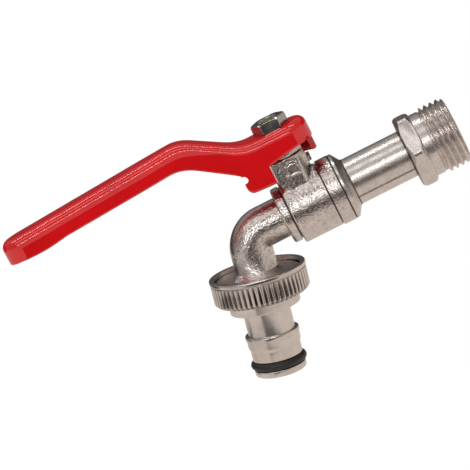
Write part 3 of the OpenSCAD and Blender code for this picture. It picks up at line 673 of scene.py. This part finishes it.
def bentLine(u, centre, slope, half):
    if u < centre - half:
        return 0
    return slope * ((u - centre) if u > centre + half else (u - centre + half) ** 2 / (4 * half))


def eased(t):
    s = max(0.0, min(1.0, t))
    return s * s * (3 - 2 * s)


def leverTop(u):
    v = lever
    rise = v["crankRise"] / (v["crankOut"] - v["crankIn"])
    drop = v["gripDrop"] / (v["reach"] - v["crankOut"])
    return v["headTop"] + bentLine(u, v["crankIn"], rise, 3.5) + bentLine(u, v["crankOut"], -rise - drop, 3.5)


def leverSkirt(u):
    v = lever
    startX, endX = v["crankIn"] + v["lagIn"], v["crankOut"] + v["lagOut"]
    end, high = v["headTop"] - v["headSkirt"], v["headTop"] + v["crankRise"] - v["gripSkirt"]
    low = end - v["headRake"] * (startX - v["rakeStart"])
    tip = v["headTop"] + v["crankRise"] - v["gripDrop"] - v["tipSkirt"]
    slope, drop = (high - low) / (endX - startX), (high - tip) / (v["reach"] - endX)
    along = max(0, min(1, (u - v["bellyFrom"]) / (v["bellyTo"] - v["bellyFrom"])))
    return end + bentLine(u, v["rakeStart"], -v["headRake"], 1.5) + bentLine(u, startX, slope + v["headRake"], 2.5) \
        + bentLine(u, endX, -slope - drop, 4) - v["belly"] * math.sin(math.pi * along)


def leverHalf(u):
    v = lever
    return v["headWidth"] / 2 - (v["headWidth"] - v["waistWidth"]) / 2 * eased((u - 5) / 12) \
        + (v["gripWidth"] - v["waistWidth"]) / 2 * eased((u - 22) / 20)


def leverSide():
    v = lever
    tipCentre = v["reach"] - v["gripWidth"] / 2
    places = [tipCentre - 1.6 * k for k in range(1, int((tipCentre - 34) / 1.6) + 1)]
    places += [places[-1] - 0.9 * k for k in range(1, int((places[-1] - v["earOut"] - 0.5) / 0.9) + 1)]
    places += [v["earOut"] + 0.02] + [v["earOut"] - v["earRadius"] + v["earRadius"] * math.sin(math.radians(a))
                                      for a in range(90, -1, -10)]
    last = v["earOut"] - v["earRadius"]
    places += [last - 0.8 * k for k in range(1, int((last - v["earIn"] - 0.3) / 0.8) + 1)]
    return places + [v["earIn"], v["earIn"] - 0.02] + [4.4, 3.4, 2.4, 1.4, 0.4, -0.6, -1.6]


headAngles = [90, 85, 80, 76, 72.2, 72, 66, 60, 54, 48, 42, 36, 30, 26, 22, 21.8, 16, 10.5, 5, 0]


def leverOutline(inset):
    v = lever
    tipRound = v["gripWidth"] / 2
    tipCentre = v["reach"] - tipRound
    turn = [math.radians(a) for a in range(0, 85, 6)]
    points = [(tipCentre + (tipRound - inset) * math.cos(a), (tipRound - inset) * math.sin(a)) for a in turn]
    points.append((tipCentre, v["gripWidth"] / 2 - inset))
    points += [(u, leverHalf(u) - inset) for u in leverSide()]
    for a in headAngles:
        c, s = max(0.0, math.cos(math.radians(a))), math.sin(math.radians(a))
        points.append((v["headRound"] - v["headReach"] - (v["headRound"] - inset) * c ** 0.9,
                       (v["headWidth"] / 2 - inset) * s ** 0.9))
    return points


def makeLever():
    v = lever
    outline = leverOutline(0)
    headFirst = len(outline) - len(headAngles)

    def low(index, u, front):
        if front and v["earIn"] <= u <= v["earOut"] and index < headFirst:
            away = u - v["earOut"] + v["earRadius"]
            lift = v["earRadius"] - math.sqrt(max(0, v["earRadius"] ** 2 - away ** 2)) if away > 0 else 0
            return v["earBottom"] + lift
        if not front and headFirst + 5 <= index <= headFirst + 14:
            return v["backEar"]
        return leverSkirt(u)

    def loop(inset, height, narrow=1.0):
        plan = leverOutline(inset)
        last = len(plan) - 1
        points = []
        for front in (True, False):
            order = range(last + 1) if front else range(last - 1, 0, -1)
            for k in order:
                u, y = plan[k]
                high = height(k, outline[k][0], u, front, y * narrow)
                points.append(Vector((axes["stemX"] - u, (-y if front else y) * narrow, high)))
        return points

    def roof(depth, drop):
        def height(k, base, u, front, y):
            slope = (leverTop(u + 0.1) - leverTop(u - 0.1)) / 0.2
            crown = v["crown"] * (1 - (y / 5.2) ** 2) if abs(y) < 5.2 else 0
            return leverTop(u) + crown - depth * math.sqrt(1 + slope * slope) - drop
        return height

    def rim(raise_):
        return lambda k, base, u, front, y: low(k, base, front) + raise_

    edge, sheet = v["edgeRadius"], v["sheet"]
    inner = edge - sheet
    narrowing = (0.8, 0.6, 0.4, 0.2, 0.0)
    outerArc = [math.radians(90 * k / 7) for k in range(8)]
    innerArc = [math.radians(90 * k / 3) for k in range(4)]
    loops = [loop(edge, roof(0, 0), n) for n in reversed(narrowing)]
    loops += [loop(edge * (1 - math.sin(a)), roof(0, edge * (1 - math.cos(a)))) for a in outerArc]
    soft = 0.45
    loops += [loop(0, rim(1.4)), loop(0, rim(soft)), loop(0.3 * soft, rim(0.3 * soft)), loop(soft, rim(0)),
              loop(sheet - soft, rim(0)), loop(sheet - 0.3 * soft, rim(0.3 * soft)),
              loop(sheet, rim(soft)), loop(sheet, rim(1.4))]
    loops += [loop(sheet + inner * (1 - math.cos(a)), roof(sheet, inner * (1 - math.sin(a)))) for a in innerArc]
    loops += [loop(edge, roof(sheet, 0), n) for n in narrowing]
    piece = loftLoops("leverBlade", loops, capStart=False, capEnd=False)
    hole = turned("stemHole", [(20, 3.05), (28, 3.05)], stemPoint, 48)
    combine(piece, hole, "DIFFERENCE")
    notch = turned("earNotch", [(-9, v["notchRadius"]), (-1, v["notchRadius"])], lambda t, r, a: Vector((
        axes["stemX"] - v["notchU"] + r * math.cos(a), t, v["notchZ"] + r * math.sin(a))), 40)
    combine(piece, notch, "DIFFERENCE")
    return smoothShade(piece, 40)


leverBlade = makeLever()
placePiece(leverBlade, "handle", "red_coating", finishes["red"], "lever")
print("lever made", len(leverBlade.data.polygons))


# Nut that holds the lever, and the stem's threaded end in it

nut = {"low": 24.8, "high": 28.1, "flats": 9.6, "turn": 0, "bore": 2.95}


def makeNut():
    corner = nut["flats"] / 2 / math.cos(math.pi / 6)
    start = math.radians(nut["turn"])
    blank = loftLoops("leverNut", [[stemPoint(z, corner, start + math.pi / 3 * k) for k in range(6)]
                                   for z in (nut["low"], nut["high"])])
    applyModifier(blank, "BEVEL", width=0.16 * mm, segments=3, limit_method="ANGLE")
    combine(blank, turned("nutTurning", [
        (nut["low"] - 0.01, 5.0), (nut["low"] + 0.4, corner, 0.2),
        (nut["high"] - 0.5, corner, 0.2), (nut["high"] + 0.01, 5.0)],
        stemPoint, 128), "INTERSECT")
    combine(blank, turned("nutBore", [(nut["low"] - 1, nut["bore"] + 0.1), (nut["high"] - 0.5, nut["bore"] + 0.1),
                                      (nut["high"] + 0.1, nut["bore"] + 0.6)], stemPoint, 64), "DIFFERENCE")
    return smoothShade(blank, 30)


leverNut = makeNut()
placePiece(leverNut, "handle", "zinc_steel", finishes["zinc"], "lever_nut")

innerPieces = {
    "body_seal": "seal", "seat_inlet": "seal", "seat_outlet": "seal", "thrust_washer": "seal", "ball": "chrome",
    "stem": "brass", "stem_oring_lower": "rubber", "stem_oring_upper": "rubber", "hose_gasket": "rubber",
}

for nodeName, finishName in innerPieces.items():
    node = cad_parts[nodeName]
    node.data.materials.clear()
    node.data.materials.append(finishes[finishName])
print("nut and inner pieces made")


# Studio

studio = {
    "floorZ": -150.0, "floorGlow": 1.04, "floorSeen": 0.9, "worldDiffuse": 0.75, "cardShift": -60.0,
    "tableZ": -75.0, "tableRadius": 1140.0, "tableColour": (0.68, 0.60, 0.545),
    "cardAway": 175.0, "cardWidth": 38.0, "cardLow": -22.0, "cardHigh": 5.0,
    "roomRadius": 1150.0, "roomColour": (0.07, 0.062, 0.058), "roomBack": 24.0, "roomSide": 0.26,
    "wallColour": (0.30, 0.285, 0.275), "wallLow": -10, "wallHigh": 55.0,
    "ceilingZ": 680.0, "ceilingRadius": 560.0, "ceilingColour": (0.36, 0.34, 0.33),
    "sideHigh": 8.0, "sideColour": (0.60, 0.565, 0.54),
}


def glowMaterial(name, colour, strength):
    finish = Finish(name)
    glow = finish.node("ShaderNodeEmission", {}, {"Color": (*colour, 1), "Strength": strength})
    output = finish.tree.nodes["Material Output"]
    finish.tree.links.new(glow.outputs[0], output.inputs["Surface"])
    return finish.material


def onlyInReflections(card):
    card.visible_camera = card.visible_diffuse = card.visible_transmission = card.visible_shadow = False
    card.visible_volume_scatter = False


def makeFloor():
    deselectAll()
    bpy.ops.mesh.primitive_plane_add(size=12, location=(0, 0, studio["floorZ"] * mm))
    floor = bpy.context.object
    floor.name = "studioFloor"
    finish = Finish("paleFloor", **{"Base Color": (0.9, 0.9, 0.9, 1), "Roughness": 0.8, "Specular IOR Level": 0.0})
    rays = finish.node("ShaderNodeLightPath")
    camera, glossy, clear = (finish.out(rays, "Is %s Ray" % kind) for kind in ("Camera", "Glossy", "Transmission"))
    glow = finish.node("ShaderNodeEmission", {}, {"Color": (1, 1, 1, 1), "Strength": studio["floorGlow"]})
    mixed = finish.node("ShaderNodeMixShader", {}, {0: (camera + glossy + clear) * studio["floorSeen"]})
    finish.tree.links.new(finish.shader.outputs[0], mixed.inputs[1])
    finish.tree.links.new(glow.outputs[0], mixed.inputs[2])
    finish.tree.links.new(mixed.outputs[0], finish.tree.nodes["Material Output"].inputs["Surface"])
    floor.data.materials.append(finish.material)


def addDisc(name, radius, height, colour):
    deselectAll()
    bpy.ops.mesh.primitive_circle_add(vertices=64, radius=radius * mm, fill_type="NGON",
                                      location=(studio["cardShift"] * mm, 0, height * mm))
    disc = bpy.context.object
    disc.name = name
    disc.data.materials.append(glowMaterial(name, colour, 1.0))
    onlyInReflections(disc)


def addWall(name, radius, low, high, colour):     # low and high give degrees up for an angle round the object
    angles = [math.radians(a) for a in range(0, 360, 5)]
    shift = studio["cardShift"]
    rows = [[(radius * math.cos(a) + shift, radius * math.sin(a), radius * math.tan(math.radians(edge(a))))
             for a in angles] for edge in (low, high)]
    wall = loftLoops(name, rows, capStart=False, capEnd=False)
    wall.data.materials.append(glowMaterial(name, colour, 1.0))
    onlyInReflections(wall)


def makeCards():
    v = studio
    bottom = v["wallLow"]
    narrow = math.cos(math.radians(v["cardWidth"]))
    addDisc("beigeTable", v["tableRadius"], v["tableZ"], v["tableColour"])
    addDisc("greyCeiling", v["ceilingRadius"], v["ceilingZ"], v["ceilingColour"])
    addWall("darkCard", v["cardAway"], lambda a: v["cardLow"],
            lambda a: v["cardHigh"] if -math.sin(a) > narrow else v["cardLow"], v["roomColour"])
    addWall("darkRoom", v["roomRadius"], lambda a: bottom,
            lambda a: v["roomBack"] if math.sin(a) > v["roomSide"] else bottom, v["roomColour"])
    addWall("paleSides", v["roomRadius"] + 10, lambda a: bottom, lambda a: v["sideHigh"], v["sideColour"])
    addWall("greyWall", v["roomRadius"] + 20, lambda a: bottom, lambda a: v["wallHigh"], v["wallColour"])


def makeWorld():
    world = bpy.data.worlds.new("studioWorld")
    world.use_nodes = True
    bpy.context.scene.world = world
    tree = world.node_tree
    rays = tree.nodes.new("ShaderNodeLightPath")
    background = tree.nodes["Background"]
    background.inputs["Color"].default_value = (1, 1, 1, 1)
    seen = tree.nodes.new("ShaderNodeMath")
    seen.operation = "MAXIMUM"
    tree.links.new(rays.outputs["Is Camera Ray"], seen.inputs[0])
    tree.links.new(rays.outputs["Is Glossy Ray"], seen.inputs[1])
    clear = tree.nodes.new("ShaderNodeMath")
    clear.operation = "MAXIMUM"
    tree.links.new(seen.outputs[0], clear.inputs[0])
    tree.links.new(rays.outputs["Is Transmission Ray"], clear.inputs[1])
    level = tree.nodes.new("ShaderNodeMapRange")
    level.inputs["To Min"].default_value = studio["worldDiffuse"]
    level.inputs["To Max"].default_value = 1.0
    tree.links.new(clear.outputs[0], level.inputs["Value"])
    tree.links.new(level.outputs[0], background.inputs["Strength"])


aim = Vector((-67.65, 0, 1.5))

lamps = {     # degrees round and up from the object, distance and size in millimetres, brightness as seen
    "frontBox": {"round": -8, "up": 21, "away": 1000, "size": (1150, 330), "seen": 0.5, "colour": (1.0, 0.96, 0.94)},
    "upperBox": {"round": -8, "up": 64, "away": 640, "size": (900, 150), "seen": 1.15, "colour": (1.0, 0.97, 0.95)},
    "frontStrip": {"round": -8, "up": 27, "away": 980, "size": (1100, 40), "seen": 12.0, "colour": (1.0, 0.98, 0.96)},
    "topStrip": {"round": -8, "up": 103, "away": 640, "size": (900, 30), "seen": 12.0, "colour": (1.0, 0.98, 0.96)},
}


def makeLamps():
    for name, lamp in lamps.items():
        light = bpy.data.lights.new(name, "AREA")
        light.shape = "RECTANGLE"
        light.size, light.size_y = lamp["size"][0] * mm, lamp["size"][1] * mm
        light.energy = lamp["seen"] * math.pi * light.size * light.size_y
        light.color = lamp["colour"]
        turn, up = math.radians(lamp["round"]), math.radians(lamp["up"])
        towards = Vector((math.sin(turn) * math.cos(up), -math.cos(turn) * math.cos(up), math.sin(up)))
        item = bpy.data.objects.new(name, light)
        bpy.context.scene.collection.objects.link(item)
        item.location = (aim + towards * lamp["away"]) * mm
        side = Vector((math.cos(turn), math.sin(turn), 0))
        item.matrix_world = Matrix.Translation(item.location) @ Matrix((
            side, towards.cross(side), towards)).transposed().to_4x4()


def makeCamera():
    view = {"round": 2.9, "up": 12.0, "roll": 27.4, "away": 700.0, "lens": 182.3}
    turn, up, roll = (math.radians(view[key]) for key in ("round", "up", "roll"))
    back = Vector((math.sin(turn) * math.cos(up), -math.cos(turn) * math.cos(up), math.sin(up)))
    right = Vector((math.cos(turn), math.sin(turn), 0))
    above = back.cross(right)
    rolledRight = right * math.cos(roll) - above * math.sin(roll)
    rolledUp = right * math.sin(roll) + above * math.cos(roll)
    lens = bpy.data.cameras.new("photoCamera")
    lens.lens, lens.sensor_width = view["lens"], 36
    camera = bpy.data.objects.new("photoCamera", lens)
    bpy.context.scene.collection.objects.link(camera)
    camera.matrix_world = Matrix.Translation((aim + back * view["away"]) * mm) @ Matrix((
        rolledRight, rolledUp, back)).transposed().to_4x4()
    bpy.context.scene.camera = camera


makeFloor()
makeCards()
makeWorld()
makeLamps()
makeCamera()
bpy.context.scene.view_settings.view_transform = "Standard"
print("studio made")
